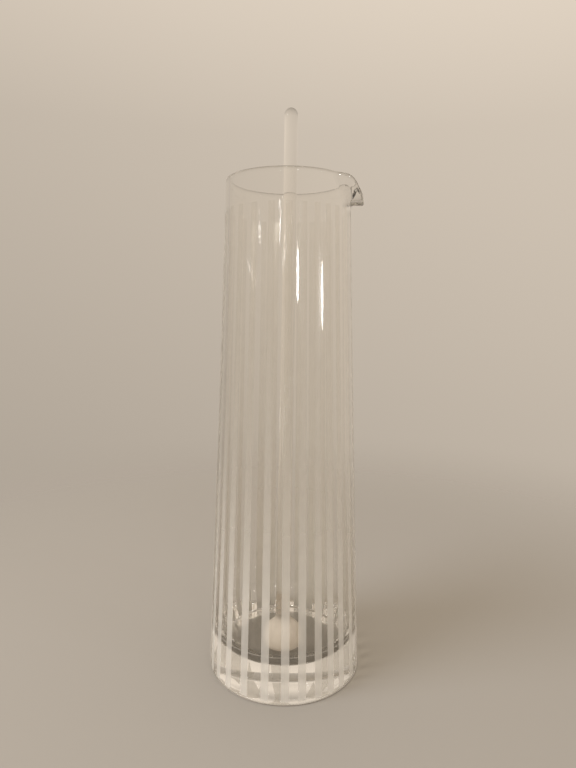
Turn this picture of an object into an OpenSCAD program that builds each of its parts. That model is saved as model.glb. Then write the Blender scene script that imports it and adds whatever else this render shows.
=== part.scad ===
// Cocktail jug of heavy clear glass with frosted stripes, and the glass stirrer that stands in it.
// Millimetres. The origin is the centre of the jug's underside, +Z is up and the lip pours toward +X.

/* [Jug body] */
// Height of the jug from the table to the rim
jug_h = 281.5; // [240:0.5:320]
// Outside radius at the table
base_r = 45; // [41:0.5:50]
// Outside radius at the rim
rim_r = 34.5; // [33:0.5:39]
// Ease of the taper toward the rim, where 1 is a straight cone
taper_power = 1.1; // [1:0.05:1.5]
// Solid glass under the floor
floor_h = 15.5; // [8:0.5:24]
// Wall just above the floor
foot_wall = 4.4; // [3.4:0.1:6]
// Wall at the rim
rim_wall = 2.6; // [2:0.1:3.4]
// Rounded corner inside, between the floor and the wall
bowl_r = 16; // [9:0.5:18]
// Rounded corner where the wall meets the underside
heel_r = 1; // [0.5:0.25:4]
// Height of the shallow hollow under the base
kick_h = 1.6; // [0.5:0.1:3]
// Width of the ground ring that the jug stands on
foot_ring = 5; // [3:0.5:10]

/* [Pouring lip] */
// How far the lip is pulled out past the rim
lip_reach = 7.5; // [5:0.5:10]
// How far the tip of the lip hangs below the rim
lip_drop = 12; // [6:0.5:13]
// Angle from the middle of the lip to where the rim is round again
lip_half_angle = 31; // [22:1:36]
// Height of the reheated band at the top that the lip is pulled from
collar_h = 16; // [14:0.5:22]

/* [Frosted stripes] */
// Number of stripes round the jug
stripe_count = 28; // [20:1:34]
// Width of a stripe at the base
stripe_w = 4.5; // [3:0.1:5]
// How deep the frosting is blasted into the glass
stripe_depth = 0.2; // [0.15:0.05:0.4]
// Plain glass between the stripes' tops and the reheated band
stripe_top_gap = 1; // [0.5:0.5:6]
// Plain glass between the stripes' lower ends and the rounded corner
stripe_bottom_gap = 1; // [0.5:0.5:6]
// Angle of the first stripe from the lip
first_stripe = 285; // [0:1:359]

/* [Stirrer] */
// Length of the stirrer from the ball's end to the domed top
stirrer_l = 323; // [290:1:360]
// Diameter of the rod
rod_d = 8.2; // [6:0.1:9]
// Diameter of the ball at the foot
ball_d = 21.5; // [16:0.5:22]
// Radius of the fused neck between the rod and the ball
neck_r = 3; // [1.5:0.5:4]
// How far the ball stands from the middle of the floor
ball_off = 20.5; // [14:0.5:20.5]
// Angle of the side that the rod leans toward, from the lip
lean_side = 102; // [60:1:300]
// Gap between the stirrer and the glass that it rests on
seat_gap = 0.3; // [0.2:0.05:0.5]

/* [Hidden] */
$fn = 96;

// Small overrun of every cutter past the surface that it cuts
overrun = 1;
// How far the lower edge of the band sits inside the turned wall
collar_inset = 0.05;
// How far the band reaches down into the turned wall
collar_root = 2;

wall_steps = 8;
kick_steps = 10;
heel_steps = 5;
bowl_steps = 9;
ball_steps = 24;
neck_steps = 5;
dome_steps = 8;
collar_cols = 108;
collar_rows = 12;
cap_steps = 5;

// Share of the lip's width that is left where its furrow starts
throat_share = 0.5;
// The wall swells out into the lip slowly at first, and sinks sooner than it swells
swell_power = 2;
turn_power = 1.4;
// The lip is pulled out broad and round, and only its narrow middle is turned down
pull_power = 0.75;
tip_power = 3.4;
// Angle by which the columns of the band crowd toward the lip
crowding = 28;

// Each stripe was masked by hand, so it stands a share of the pitch off its even place
stripe_shift_shares = [0, -0.07, -0.12, -0.3, -0.46, -0.4, -0.35, -0.25, -0.3, -0.15, -0.1, -0.2, -0.1, -0.05,
    0, -0.1, -0.05, -0.15, -0.1, -0.2, -0.25, -0.2, -0.35, -0.4, -0.46, -0.48, -0.34, -0.11];

join_z = jug_h - collar_h;
stripe_low = heel_r + stripe_bottom_gap;
stripe_high = join_z - stripe_top_gap;
stripe_angle = stripe_w / base_r * 180 / PI;

// Outside radius and wall at a height
function outer_r(z) = rim_r + (base_r - rim_r) * pow(1 - min(z, jug_h) / jug_h, taper_power);
function wall_at(z) = rim_wall + (foot_wall - rim_wall) * pow(1 - min(z, jug_h) / jug_h, taper_power);
function inner_r(z) = outer_r(z) - wall_at(z);

// Heights in even steps from one height to another
function heights(low, high) = [for (i = [0 : wall_steps]) low + (high - low) * i / wall_steps];
function backward(points) = [for (i = [len(points) - 1 : -1 : 0]) points[i]];

// Points on an arc about a centre, counted as angles from +X
function arc(centre, r, from, to, steps) =
    [for (i = [0 : steps]) centre + r * [cos(from + (to - from) * i / steps), sin(from + (to - from) * i / steps)]];

// Outline of the turned body: hollow underside, heel, outer wall, then down the inner wall and round the bowl
bowl_top = floor_h + bowl_r;
kick_r = outer_r(heel_r) - heel_r - foot_ring;
jug_outline = concat(
    [for (i = [0 : kick_steps]) [kick_r * i / kick_steps, kick_h * (1 - pow(i / kick_steps, 2))]],
    arc([outer_r(heel_r) - heel_r, heel_r], heel_r, -90, 0, heel_steps),
    [for (z = heights(heel_r, join_z)) if (z > heel_r) [outer_r(z), z]],
    [for (z = backward(heights(bowl_top, join_z))) [inner_r(z), z]],
    [for (p = backward(arc([inner_r(bowl_top) - bowl_r, bowl_top], bowl_r, -90, 0, bowl_steps)))
        if (p.y < bowl_top) p],
    [[0, floor_h]]
);

module turned_body() {
    rotate_extrude()
        polygon(jug_outline);
}

// One stripe's cutter, which follows the outer wall a frosting depth below its surface
module stripe_cutter() {
    levels = heights(stripe_low, stripe_high);
    rotate([0, 0, -stripe_angle / 2])
        rotate_extrude(angle = stripe_angle)
            polygon(concat(
                [for (z = levels) [outer_r(z) - stripe_depth, z]],
                [for (z = backward(levels)) [outer_r(z) + overrun, z]]));
}

module stripe_cutters() {
    pitch = 360 / stripe_count;
    for (k = [0 : stripe_count - 1])
        rotate([0, 0, first_stripe + pitch * (k + stripe_shift_shares[k % len(stripe_shift_shares)])])
            stripe_cutter();
}

// The reheated band is lofted from one wall section per column, thickened square to its own middle line
function column_angle(i) = 360 * i / collar_cols - crowding * sin(360 * i / collar_cols);
function from_lip(a) = a > 180 ? a - 360 : a;
function lip_share(a, t) =
    let (half = lip_half_angle * (throat_share + (1 - throat_share) * t))
    abs(from_lip(a)) < half ? pow(cos(90 * from_lip(a) / half), 2) : 0;

collar_low = join_z - collar_root;
cap_z = jug_h - rim_wall / 2;
function lift(z) = max(0, (z - join_z) / (cap_z - join_z));
function middle(a, s) =
    let (z = collar_low + (cap_z - collar_low) * s, t = lift(z), g = lip_share(a, t))
    [outer_r(z) - wall_at(z) / 2 + lip_reach * pow(g, pull_power) * pow(t, swell_power),
        z - lip_drop * pow(g, tip_power) * pow(t, turn_power)];
function along(a, s) =
    let (nudge_share = 0.01, d = middle(a, s) - middle(a, s - nudge_share))
    d / norm(d);
function half_wall(s) =
    let (z = collar_low + (cap_z - collar_low) * s)
    wall_at(z) / 2 - collar_inset * (1 - lift(z));
function section(a) = concat(
    [for (j = [0 : collar_rows]) let (s = j / collar_rows, d = along(a, s)) middle(a, s) + half_wall(s) * [d.y, -d.x]],
    [for (k = [1 : cap_steps - 1]) let (w = 180 * k / cap_steps, d = along(a, 1))
        middle(a, 1) + half_wall(1) * (cos(w) * [d.y, -d.x] + sin(w) * d)],
    [for (j = [collar_rows : -1 : 0]) let (s = j / collar_rows, d = along(a, s)) middle(a, s) - half_wall(s) * [d.y, -d.x]]
);

module collar() {
    sections = [for (i = [0 : collar_cols - 1]) section(column_angle(i))];
    rows = len(sections[0]);
    points = [for (i = [0 : collar_cols - 1]) for (p = sections[i])
        [p.x * cos(column_angle(i)), p.x * sin(column_angle(i)), p.y]];
    faces = [for (i = [0 : collar_cols - 1]) for (j = [0 : rows - 1])
        let (i2 = (i + 1) % collar_cols, j2 = (j + 1) % rows)
        for (f = [[i * rows + j, i * rows + j2, i2 * rows + j2], [i * rows + j, i2 * rows + j2, i2 * rows + j]]) f];
    polyhedron(points, faces);
}

module jug() {
    color([0.86, 0.88, 0.84, 0.5])
        union() {
            difference() {
                turned_body();
                stripe_cutters();
            }
            collar();
        }
}

// Stirrer drawn upright, with the ball's centre at the origin
ball_r = ball_d / 2;
rod_r = rod_d / 2;
rod_top = stirrer_l - ball_r;
neck_x = rod_r + neck_r;
neck_z = sqrt(pow(ball_r + neck_r, 2) - pow(neck_x, 2));
neck_angle = atan2(neck_z, neck_x);
stirrer_outline = concat(
    arc([0, 0], ball_r, -90, neck_angle, ball_steps),
    [for (p = backward(arc([neck_x, neck_z], neck_r, 180, 180 + neck_angle, neck_steps))) if (p.x < ball_r * cos(neck_angle)) p],
    [for (p = arc([0, rod_top - rod_r], rod_r, 0, 90, dome_steps)) p]
);

// The rod passes the rim's rounded edge with the seat gap, so its lean follows from the jug
ball_z = floor_h + seat_gap + ball_r;
edge = [rim_r - rim_wall / 2 + ball_off, jug_h - rim_wall / 2 - ball_z];
lean = atan2(edge.x, edge.y) - asin((rod_r + seat_gap + rim_wall / 2) / norm(edge));

module stirrer() {
    color([0.80, 0.84, 0.82, 0.6])
        rotate([0, 0, lean_side])
            translate([-ball_off, 0, ball_z])
                rotate([0, lean, 0])
                    rotate_extrude()
                        polygon(stirrer_outline);
}

jug();
stirrer();
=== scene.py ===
import math

import bmesh
import bpy
from mathutils import Matrix, Vector


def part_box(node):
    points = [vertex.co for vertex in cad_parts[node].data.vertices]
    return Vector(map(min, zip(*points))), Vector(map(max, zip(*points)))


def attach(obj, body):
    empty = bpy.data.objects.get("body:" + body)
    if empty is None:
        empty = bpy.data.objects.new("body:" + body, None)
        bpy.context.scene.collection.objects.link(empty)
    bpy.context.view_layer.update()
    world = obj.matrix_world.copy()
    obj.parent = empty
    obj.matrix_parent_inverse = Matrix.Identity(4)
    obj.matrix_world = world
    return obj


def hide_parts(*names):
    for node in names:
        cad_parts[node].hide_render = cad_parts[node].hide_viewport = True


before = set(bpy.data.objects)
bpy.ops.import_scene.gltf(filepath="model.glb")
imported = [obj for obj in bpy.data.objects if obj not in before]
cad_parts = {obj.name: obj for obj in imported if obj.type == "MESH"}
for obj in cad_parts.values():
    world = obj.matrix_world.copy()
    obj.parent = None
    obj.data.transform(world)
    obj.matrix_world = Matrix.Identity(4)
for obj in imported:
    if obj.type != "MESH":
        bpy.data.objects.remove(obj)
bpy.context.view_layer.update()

# The camera
# It stands a foot in front of the jug, a little below the rim, turned toward the lip's side and tipped down.
# Its place was worked out from the ellipses of the rim and the foot, as the photograph shows them.
camera_distance = 0.3162
camera_height = 0.2076
camera_shift = 0.0005
camera_side = math.radians(14)
camera_pitch = math.radians(7.04)
camera_roll = math.radians(-0.56)
picture_height_px = 768
focal_px = 550
camera_data = bpy.data.cameras.new("camera")
camera_data.sensor_width = 36
camera_data.lens = camera_data.sensor_width * focal_px / picture_height_px
camera_data.clip_start = 0.01
camera_data.dof.use_dof = False
camera = bpy.data.objects.new("camera", camera_data)
camera.location = (
    camera_distance * math.sin(camera_side) + camera_shift * math.cos(camera_side),
    -camera_distance * math.cos(camera_side) + camera_shift * math.sin(camera_side),
    camera_height,
)
camera.rotation_euler = (math.radians(90) - camera_pitch, camera_roll, camera_side)
bpy.context.collection.objects.link(camera)
bpy.context.scene.camera = camera


# The jug
# One gather of clear glass, blown into a tapered form on a heavy base, with the rim reheated and its lip
# pulled out and turned down. The stripes were masked with tape and blasted matt, no deeper than a scratch.
jug_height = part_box("jug")[1].z
rim_radius = 0.0345
base_radius = 0.045
taper_power = 1.1
floor_height = 0.0155
foot_wall = 0.0044
rim_wall = 0.0026
bowl_radius = 0.016
heel_radius = 0.001
# The shallow hollow under the base, inside the ring that the jug stands on
kick_height = 0.0016
kick_radius = 0.039

lip_reach = 0.0075
lip_drop = 0.012
lip_half_angle = math.radians(31)
# Share of the lip's width that is left where its furrow starts
throat_share = 0.5
# The wall swells out into the lip slowly at first, and sinks sooner than it swells
swell_power = 2
turn_power = 1.4
# The lip is pulled out broad and round, and only its narrow middle is turned down
pull_power = 0.75
tip_power = 3.4
# The reheated band at the top, which the lip is pulled from
band_height = 0.016
band_low = jug_height - band_height
band_top = jug_height - rim_wall / 2
# Step down the wall over which its direction is measured
run_step = 0.0002

stripe_count = 28
stripe_width = 0.0045
stripe_angle = stripe_width / base_radius
stripe_end_gap = 0.001
stripe_low = heel_radius + stripe_end_gap
stripe_high = band_low - stripe_end_gap
stripe_depth = 0.00002
stripe_edge = 0.0003
first_stripe = math.radians(285)
# Each stripe was masked by hand, so it stands a share of the pitch off its even place
stripe_shift_shares = [
    0, -0.07, -0.12, -0.3, -0.46, -0.4, -0.35, -0.25, -0.3, -0.15, -0.1, -0.2, -0.1, -0.05,
    0, -0.1, -0.05, -0.15, -0.1, -0.2, -0.25, -0.2, -0.35, -0.4, -0.46, -0.48, -0.34, -0.11,
]

# Rings of faces along each stretch of the outline, and columns of them across a stripe and a gap
kick_rings = 12
heel_rings = 8
wall_rings = 14
rim_rings = 10
bowl_rings = 14
stripe_columns = 6
gap_columns = 10
weld_distance = 1e-6
crease_angle = math.radians(30)
# A face belongs to the underside when its normal points down by more than this
underside_slope = -0.5
# Places of the frosting and of the base's glass in the jug's list of materials
frosted_place = 1
base_place = 2


def taper(z):
    """How much of the taper is left at a height: all of it at the table and none at the rim."""
    return (1 - min(z, jug_height) / jug_height) ** taper_power


def outer_radius(z):
    return rim_radius + (base_radius - rim_radius) * taper(z)


def wall(z):
    return rim_wall + (foot_wall - rim_wall) * taper(z)


def rows(low, high, count):
    """Heights or angles in even steps from one to the other, both included."""
    return [low + (high - low) * i / count for i in range(count + 1)]


def arc(centre, radius, start, end, count):
    """Points on an arc, with its angles in degrees from the outward side."""
    return [
        (centre[0] + radius * math.cos(a), centre[1] + radius * math.sin(a))
        for a in rows(math.radians(start), math.radians(end), count)
    ]


def jug_outline():
    """The underside from its middle, then up the outside, over the rim and down the inside to the floor."""
    heel_centre = (outer_radius(heel_radius) - heel_radius, heel_radius)
    rim_centre = (rim_radius - rim_wall / 2, band_top)
    bowl_top = floor_height + bowl_radius
    bowl_centre = (outer_radius(bowl_top) - wall(bowl_top) - bowl_radius, bowl_top)
    outside = rows(stripe_low, stripe_high, wall_rings) + rows(band_low, band_top, wall_rings)
    inside = rows(band_top, band_low, wall_rings) + rows(band_low, bowl_top, wall_rings)[1:]
    return (
        [(r, kick_height * (1 - (r / kick_radius) ** 2)) for r in rows(0, kick_radius, kick_rings)]
        + arc(heel_centre, heel_radius, -90, 0, heel_rings)
        + [(outer_radius(z), z) for z in outside]
        + arc(rim_centre, rim_wall / 2, 0, 180, rim_rings)[1:-1]
        + [(outer_radius(z) - wall(z), z) for z in inside]
        + arc(bowl_centre, bowl_radius, 0, -90, bowl_rings)[1:]
        + [(0, floor_height)]
    )


def lip_share(angle, rise):
    """How much of the lip a point of the band takes: all of it in the middle, and none past its sides."""
    half = lip_half_angle * (throat_share + (1 - throat_share) * rise)
    return math.cos(math.pi / 2 * angle / half) ** 2 if abs(angle) < half else 0


def band_middle(angle, z):
    """Radius and height of the middle of the wall in the reheated band, pulled out and down at the lip."""
    rise = max(0, (z - band_low) / (band_top - band_low))
    share = lip_share(angle, rise)
    out = lip_reach * share ** pull_power * rise ** swell_power
    down = lip_drop * share ** tip_power * rise ** turn_power
    return Vector((outer_radius(z) - wall(z) / 2 + out, z - down))


def pull_lip(vert):
    """Moves one point of the turned band to its place on the lip, square to the wall's middle line."""
    angle = math.atan2(vert.co.y, vert.co.x)
    radius = math.hypot(vert.co.x, vert.co.y)
    z = min(vert.co.z, band_top)
    across = radius - (outer_radius(z) - wall(z) / 2)
    ahead = vert.co.z - z
    middle = band_middle(angle, z)
    run = (middle - band_middle(angle, z - run_step)).normalized()
    place = middle + across * Vector((run.y, -run.x)) + ahead * run
    vert.co = (place.x * math.cos(angle), place.x * math.sin(angle), place.y)


def stripe_starts():
    """The angles at which the stripes begin, in their order round the jug."""
    pitch = math.tau / stripe_count
    middles = [first_stripe + pitch * (k + shift) for k, shift in enumerate(stripe_shift_shares)]
    return sorted((middle - stripe_angle / 2) % math.tau for middle in middles)


def close_glass(glass):
    """Welds the seam and the poles of a turned piece and points its faces outwards."""
    bmesh.ops.remove_doubles(glass, verts=glass.verts, dist=weld_distance)
    bmesh.ops.recalc_face_normals(glass, faces=glass.faces)


def make_object(name, shape):
    """Makes an object of a finished shape, at the origin."""
    mesh = bpy.data.meshes.new(name)
    shape.to_mesh(mesh)
    shape.free()
    made = bpy.data.objects.new(name, mesh)
    bpy.context.collection.objects.link(made)
    return made


glass = bmesh.new()
outline = [glass.verts.new((r, 0, z)) for r, z in jug_outline()]
profile = outline + [glass.edges.new(pair) for pair in zip(outline, outline[1:])]
starts = stripe_starts()
bmesh.ops.rotate(glass, verts=outline, matrix=Matrix.Rotation(starts[0], 3, "Z"), cent=(0, 0, 0))
for start, next_start in zip(starts, starts[1:] + starts[:1]):
    gap_angle = (next_start - start) % math.tau - stripe_angle
    for angle, columns in ((stripe_angle, stripe_columns), (gap_angle, gap_columns)):
        spun = bmesh.ops.spin(
            glass, geom=profile, cent=(0, 0, 0), axis=(0, 0, 1), dvec=(0, 0, 0),
            angle=angle, steps=columns, use_merge=False,
        )
        profile = spun["geom_last"]
close_glass(glass)
for vert in glass.verts:
    if vert.co.z > band_low:
        pull_lip(vert)

stripes = {}
for face in glass.faces:
    middle = face.calc_center_median()
    wall_middle = outer_radius(middle.z) - wall(middle.z) / 2
    if stripe_low < middle.z < stripe_high and middle.xy.length > wall_middle:
        for k, start in enumerate(starts):
            if (math.atan2(middle.y, middle.x) - start) % math.tau < stripe_angle:
                stripes.setdefault(k, []).append(face)
for faces in stripes.values():
    edging = bmesh.ops.inset_region(
        glass, faces=faces, thickness=stripe_edge, depth=-stripe_depth, use_even_offset=True
    )
    for face in faces + edging["faces"]:
        face.material_index = frosted_place
for face in glass.faces:
    face.smooth = True
    if face.normal.z < underside_slope and face.calc_center_median().z < stripe_low:
        face.material_index = base_place
for edge in glass.edges:
    edge.smooth = edge.calc_face_angle(0) < crease_angle
jug = make_object("glass_jug", glass)

glass_ior = 1.5
ripple_depth = 0.0004
grain_depth = 0.00006
# The frosting's darker grains have this share of its colour
grain_shade = 0.93
# Where the tint's noise starts and ends its change from one colour to the other
tint_range = (0.3, 0.7)
# Light that has passed the glass is a little warmer
lamp_tint = (1, 0.98, 0.94)
thinning_power = 3


def shader(name):
    """A material with its nodes, its links and its Principled shader."""
    material = bpy.data.materials.new(name)
    material.use_nodes = True
    nodes, links = material.node_tree.nodes, material.node_tree.links
    return material, nodes, links, nodes["Principled BSDF"]


def noise(nodes, links, scale, stretch, detail=2.0):
    """A noise in the piece's own coordinates, which a stretch under 1 draws out along Z."""
    place = nodes.new("ShaderNodeTexCoord")
    mapping = nodes.new("ShaderNodeMapping")
    mapping.inputs["Scale"].default_value = (1, 1, stretch)
    texture = nodes.new("ShaderNodeTexNoise")
    texture.inputs["Scale"].default_value = scale
    texture.inputs["Detail"].default_value = detail
    links.new(place.outputs["Object"], mapping.inputs["Vector"])
    links.new(mapping.outputs["Vector"], texture.inputs["Vector"])
    return texture


def bump(nodes, links, texture, principled, strength, distance):
    """Roughens the surface with a noise."""
    node = nodes.new("ShaderNodeBump")
    node.inputs["Strength"].default_value = strength
    node.inputs["Distance"].default_value = distance
    links.new(texture.outputs["Fac"], node.inputs["Height"])
    links.new(node.outputs["Normal"], principled.inputs["Normal"])
    return node


def tint(nodes, links, texture, principled, low, high):
    """Lets the glass wander between two colours with a noise."""
    ramp = nodes.new("ShaderNodeValToRGB")
    for element, position, colour in zip(ramp.color_ramp.elements, tint_range, (low, high)):
        element.position = position
        element.color = (*colour, 1)
    links.new(texture.outputs["Fac"], ramp.inputs["Fac"])
    links.new(ramp.outputs["Color"], principled.inputs["Base Color"])


def let_lamps_through(nodes, links, principled, share):
    """Lets this share of the lamps' light reach what stands behind the glass, as real glass does."""
    path = nodes.new("ShaderNodeLightPath")
    either = nodes.new("ShaderNodeMath")
    either.operation = "MAXIMUM"
    passing = nodes.new("ShaderNodeBsdfTransparent")
    passing.inputs["Color"].default_value = (*(share * c for c in lamp_tint), 1)
    mix = nodes.new("ShaderNodeMixShader")
    links.new(path.outputs["Is Shadow Ray"], either.inputs[0])
    links.new(path.outputs["Is Diffuse Ray"], either.inputs[1])
    links.new(either.outputs["Value"], mix.inputs[0])
    links.new(principled.outputs[0], mix.inputs[1])
    links.new(passing.outputs[0], mix.inputs[2])
    links.new(mix.outputs[0], nodes["Material Output"].inputs["Surface"])


def clear_glass(name, ripple, lamp_share=0.94):
    """Clear glass with the long, faint ripples that blowing and drawing leave in it."""
    material, nodes, links, principled = shader(name)
    principled.inputs["Roughness"].default_value = 0.0
    principled.inputs["IOR"].default_value = glass_ior
    principled.inputs["Transmission Weight"].default_value = 1.0
    ripples = noise(nodes, links, scale=60, stretch=0.05, detail=1.0)
    bump(nodes, links, ripples, principled, strength=ripple, distance=ripple_depth)
    clouds = noise(nodes, links, scale=30, stretch=0.3)
    tint(nodes, links, clouds, principled, low=(0.993, 0.983, 0.965), high=(0.999, 0.993, 0.980))
    let_lamps_through(nodes, links, principled, lamp_share)
    return material


def frosted_glass(name, colour, height, transmission, roughness, grain, lamp_share=0.5):
    """Blasted glass: matt and grainy where it is dense, and nearly clear where the blasting ran out.

    Each pair gives the value at the thin end and at the dense end. The frosting thins out fast above its
    dense end, and then slowly.
    """
    material, nodes, links, principled = shader(name)
    principled.inputs["IOR"].default_value = glass_ior
    grains = noise(nodes, links, scale=4200, stretch=1.0)
    relief = bump(nodes, links, grains, principled, strength=grain[1], distance=grain_depth)
    clouds = noise(nodes, links, scale=260, stretch=0.5, detail=4.0)
    tint(nodes, links, clouds, principled, low=[grain_shade * c for c in colour], high=colour)
    place = nodes.new("ShaderNodeTexCoord")
    split = nodes.new("ShaderNodeSeparateXYZ")
    density = nodes.new("ShaderNodeMapRange")
    density.inputs["From Min"].default_value, density.inputs["From Max"].default_value = height
    frosting = nodes.new("ShaderNodeMath")
    frosting.operation = "POWER"
    frosting.inputs[1].default_value = thinning_power
    links.new(place.outputs["Object"], split.inputs["Vector"])
    links.new(split.outputs["Z"], density.inputs["Value"])
    links.new(density.outputs["Result"], frosting.inputs[0])
    fading = (
        (principled.inputs["Transmission Weight"], transmission),
        (principled.inputs["Roughness"], roughness),
        (relief.inputs["Strength"], grain),
    )
    for socket, ends in fading:
        fade = nodes.new("ShaderNodeMapRange")
        fade.inputs["To Min"].default_value, fade.inputs["To Max"].default_value = ends
        links.new(frosting.outputs["Value"], fade.inputs["Value"])
        links.new(fade.outputs["Result"], socket)
    let_lamps_through(nodes, links, principled, lamp_share)
    return material


jug.data.materials.append(clear_glass("clear_glass", ripple=0.1))
jug.data.materials.append(
    frosted_glass(
        "frosted_glass",
        colour=(0.94, 0.915, 0.865),
        height=(0.27, 0.055),
        transmission=(0.97, 0.52),
        roughness=(0.2, 0.27),
        grain=(0.02, 0.12),
    )
)
# The thick base keeps back more of the lamps' light, so the floor under it is in shadow
jug.data.materials.append(clear_glass("heavy_base", ripple=0.02, lamp_share=0.42))
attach(jug, "jug")
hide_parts("jug")


# The stirrer
# A drawn glass rod, melted to a dome at the top, with a ball gathered on its foot and matted like the
# stripes. It lies loose in the jug: the ball on the floor, the rod against the rim opposite.
rod_radius = 0.0041
ball_radius = 0.01075
neck_radius = 0.003
stirrer_length = 0.323
ball_offset = 0.0205
lean_side = math.radians(102)
seat_gap = 0.0003
satin_above_ball = 0.014

ball_rings = 40
neck_rings = 8
rod_rings = 24
dome_rings = 10
rod_columns = 64
# Place of the matted glass in the stirrer's list of materials
satin_place = 1

ball_height = floor_height + seat_gap + ball_radius
to_rim = Vector((rim_radius - rim_wall / 2 + ball_offset, band_top - ball_height))
lean = math.atan2(to_rim.x, to_rim.y) - math.asin((rod_radius + seat_gap + rim_wall / 2) / to_rim.length)
neck_x = rod_radius + neck_radius
neck_z = math.sqrt((ball_radius + neck_radius) ** 2 - neck_x ** 2)
neck_angle = math.degrees(math.atan2(neck_z, neck_x))
dome_low = stirrer_length - ball_radius - rod_radius
satin_top = ball_radius + satin_above_ball


def stirrer_outline():
    """Upright, from the ball's lowest point to the top of the dome, with the ball's centre at the origin."""
    return (
        arc((0, 0), ball_radius, -90, neck_angle, ball_rings)
        + arc((neck_x, neck_z), neck_radius, 180 + neck_angle, 180, neck_rings)[1:]
        + [(rod_radius, z) for z in rows(neck_z, dome_low, rod_rings)[1:]]
        + arc((0, dome_low), rod_radius, 0, 90, dome_rings)[1:]
    )


glass = bmesh.new()
outline = [glass.verts.new((max(r, 0), 0, z)) for r, z in stirrer_outline()]
profile = outline + [glass.edges.new(pair) for pair in zip(outline, outline[1:])]
bmesh.ops.spin(
    glass, geom=profile, cent=(0, 0, 0), axis=(0, 0, 1), dvec=(0, 0, 0),
    angle=math.tau, steps=rod_columns, use_merge=True,
)
close_glass(glass)
for face in glass.faces:
    face.smooth = True
    if face.calc_center_median().z < satin_top:
        face.material_index = satin_place
stance = (
    Matrix.Rotation(lean_side, 4, "Z")
    @ Matrix.Translation((-ball_offset, 0, ball_height))
    @ Matrix.Rotation(lean, 4, "Y")
)
bmesh.ops.transform(glass, matrix=stance, verts=glass.verts)
stirrer = make_object("glass_stirrer", glass)
stirrer.data.materials.append(clear_glass("rod_glass", ripple=0.08))
stirrer.data.materials.append(
    frosted_glass(
        "satin_ball",
        colour=(0.93, 0.86, 0.78),
        height=(0.046, 0.036),
        transmission=(0.95, 0.15),
        roughness=(0.15, 0.6),
        grain=(0.02, 0.25),
    )
)
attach(stirrer, "stirrer")
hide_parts("stirrer")


# The floor and the light
# A plain pale floor that fades into the backdrop, soft light all round, and three narrow lamps for the tall
# highlights on the wall of the jug. The floor lies a hair under the jug, which keeps the glow in its base.
floor_colour = (0.49, 0.455, 0.41)
floor_size = 2.0
floor_gap = 0.0003
fade_start = 0.09
fade_end = 0.7
backdrop_colour = (0.61, 0.53, 0.44)
# Where the backdrop changes on the way from straight below to straight above, and its level at each place
backdrop_places = (0.3, 0.65, 0.8, 0.95)
backdrop_levels = (0.75, 1.0, 1.35, 0.35)
# Strengths of the backdrop on the left and on the right of the picture
side_strengths = (0.8, 1.15)

ground = bmesh.new()
bmesh.ops.create_grid(ground, x_segments=8, y_segments=8, size=floor_size)
bmesh.ops.translate(ground, verts=ground.verts, vec=(0, 0, -floor_gap))
floor = make_object("floor", ground)
material, nodes, links, principled = shader("floor")
principled.inputs["Roughness"].default_value = 0.7
principled.inputs["Specular IOR Level"].default_value = 0.2
principled.inputs["Base Color"].default_value = (*floor_colour, 1)
place = nodes.new("ShaderNodeTexCoord")
distance = nodes.new("ShaderNodeVectorMath")
distance.operation = "LENGTH"
fade = nodes.new("ShaderNodeMapRange")
fade.interpolation_type = "SMOOTHERSTEP"
fade.inputs["From Min"].default_value, fade.inputs["From Max"].default_value = fade_start, fade_end
open_air = nodes.new("ShaderNodeBsdfTransparent")
mix = nodes.new("ShaderNodeMixShader")
links.new(place.outputs["Object"], distance.inputs[0])
links.new(distance.outputs["Value"], fade.inputs["Value"])
links.new(fade.outputs["Result"], mix.inputs[0])
links.new(principled.outputs[0], mix.inputs[1])
links.new(open_air.outputs[0], mix.inputs[2])
links.new(mix.outputs[0], nodes["Material Output"].inputs["Surface"])
floor.data.materials.append(material)

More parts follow.
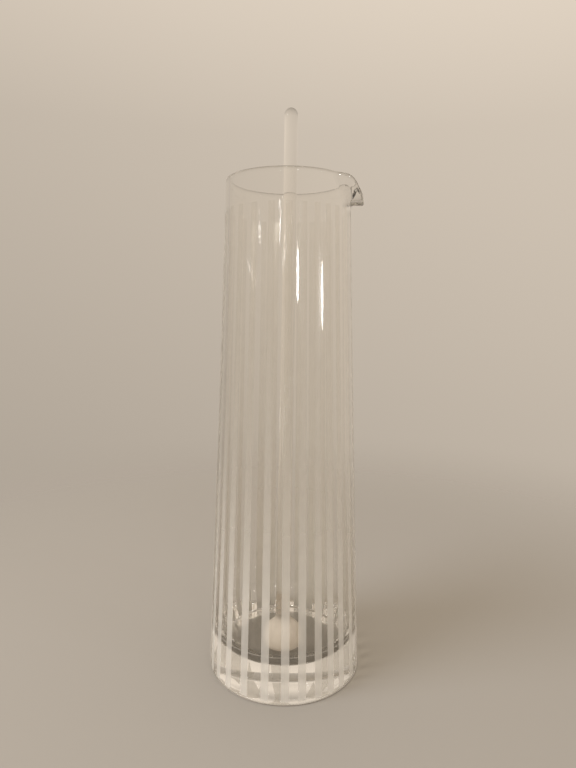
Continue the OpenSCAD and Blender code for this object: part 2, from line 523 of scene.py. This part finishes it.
world = bpy.data.worlds.new("studio")
bpy.context.scene.world = world
world.use_nodes = True
nodes, links = world.node_tree.nodes, world.node_tree.links
background = nodes["Background"]
direction = nodes.new("ShaderNodeTexCoord")
split = nodes.new("ShaderNodeSeparateXYZ")
upward = nodes.new("ShaderNodeMapRange")
upward.inputs["From Min"].default_value, upward.inputs["From Max"].default_value = -1, 1
ramp = nodes.new("ShaderNodeValToRGB")
levels = ramp.color_ramp.elements
levels[0].position, levels[1].position = backdrop_places[0], backdrop_places[-1]
for position in backdrop_places[1:-1]:
    levels.new(position)
for element, level in zip(levels, backdrop_levels):
    element.color = (*(level * c for c in backdrop_colour), 1)
links.new(direction.outputs["Generated"], split.inputs["Vector"])
links.new(split.outputs["Z"], upward.inputs["Value"])
links.new(upward.outputs["Result"], ramp.inputs["Fac"])
to_right = nodes.new("ShaderNodeVectorMath")
to_right.operation = "DOT_PRODUCT"
to_right.inputs[1].default_value = (math.cos(camera_side), math.sin(camera_side), 0)
across = nodes.new("ShaderNodeMapRange")
across.inputs["From Min"].default_value, across.inputs["From Max"].default_value = -1, 1
across.inputs["To Min"].default_value, across.inputs["To Max"].default_value = side_strengths
links.new(direction.outputs["Generated"], to_right.inputs[0])
links.new(to_right.outputs["Value"], across.inputs["Value"])
links.new(ramp.outputs["Color"], background.inputs["Color"])
links.new(across.outputs["Result"], background.inputs["Strength"])


def area_lamp(name, place, aim_height, width, height, power):
    """A rounded lamp that faces a point on the jug's axis."""
    data = bpy.data.lights.new(name, "AREA")
    data.shape = "ELLIPSE"
    data.size, data.size_y, data.energy = width, height, power
    lamp = bpy.data.objects.new(name, data)
    lamp.location = place
    lamp.rotation_euler = (Vector((0, 0, aim_height)) - Vector(place)).to_track_quat("-Z", "Y").to_euler()
    bpy.context.collection.objects.link(lamp)
    return lamp


key = area_lamp("key", place=(-1.1, -0.9, 1.5), aim_height=0.12, width=1.0, height=1.0, power=24)
key.visible_glossy = False
key.visible_transmission = False
area_lamp("window_near", place=(0.748, -1.230, 0.425), aim_height=0.23, width=0.08, height=0.15, power=1.25)
area_lamp("window_side", place=(1.40, -0.36, 0.355), aim_height=0.23, width=0.09, height=0.2, power=1.45)
area_lamp("window_front", place=(0.005, -1.5, 0.57), aim_height=0.25, width=0.04, height=0.085, power=0.14)

# Light goes in and out of the thick base and the two walls many times before it leaves the glass
scene = bpy.context.scene
scene.view_settings.view_transform = "Standard"
scene.cycles.max_bounces = 48
scene.cycles.transmission_bounces = 32
scene.cycles.glossy_bounces = 40
